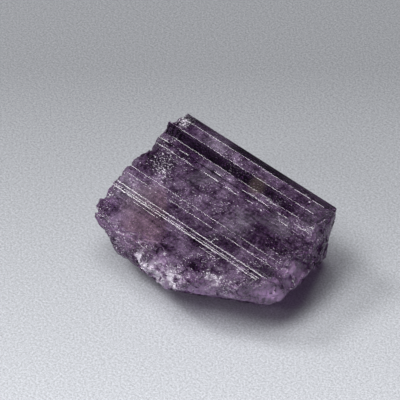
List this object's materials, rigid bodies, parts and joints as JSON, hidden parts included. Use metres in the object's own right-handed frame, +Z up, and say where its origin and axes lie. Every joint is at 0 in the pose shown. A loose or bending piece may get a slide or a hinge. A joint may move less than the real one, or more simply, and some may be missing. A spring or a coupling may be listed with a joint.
{
  "type": "scapolite crystal specimen",
  "caption": "Broken stump of a transparent violet prismatic crystal with stepped, striated long faces, shell-like broken ends and a flat rest underneath.",
  "frame": {"origin": "middle of the crystal's outline on the ground, at the height of the ground", "axes": "+X along the crystal's long axis towards the steep broken end, +Y towards the straight back face, +Z up out of the stepped natural faces"},
  "size_m": [0.0234, 0.0168, 0.0087],
  "materials": {
    "violet_crystal": "glassy on the natural faces, frosted and glittering on the broken ones"
  },
  "bodies": {
    "root": {"crystal": "violet_crystal"}
  },
  "joints": []
}
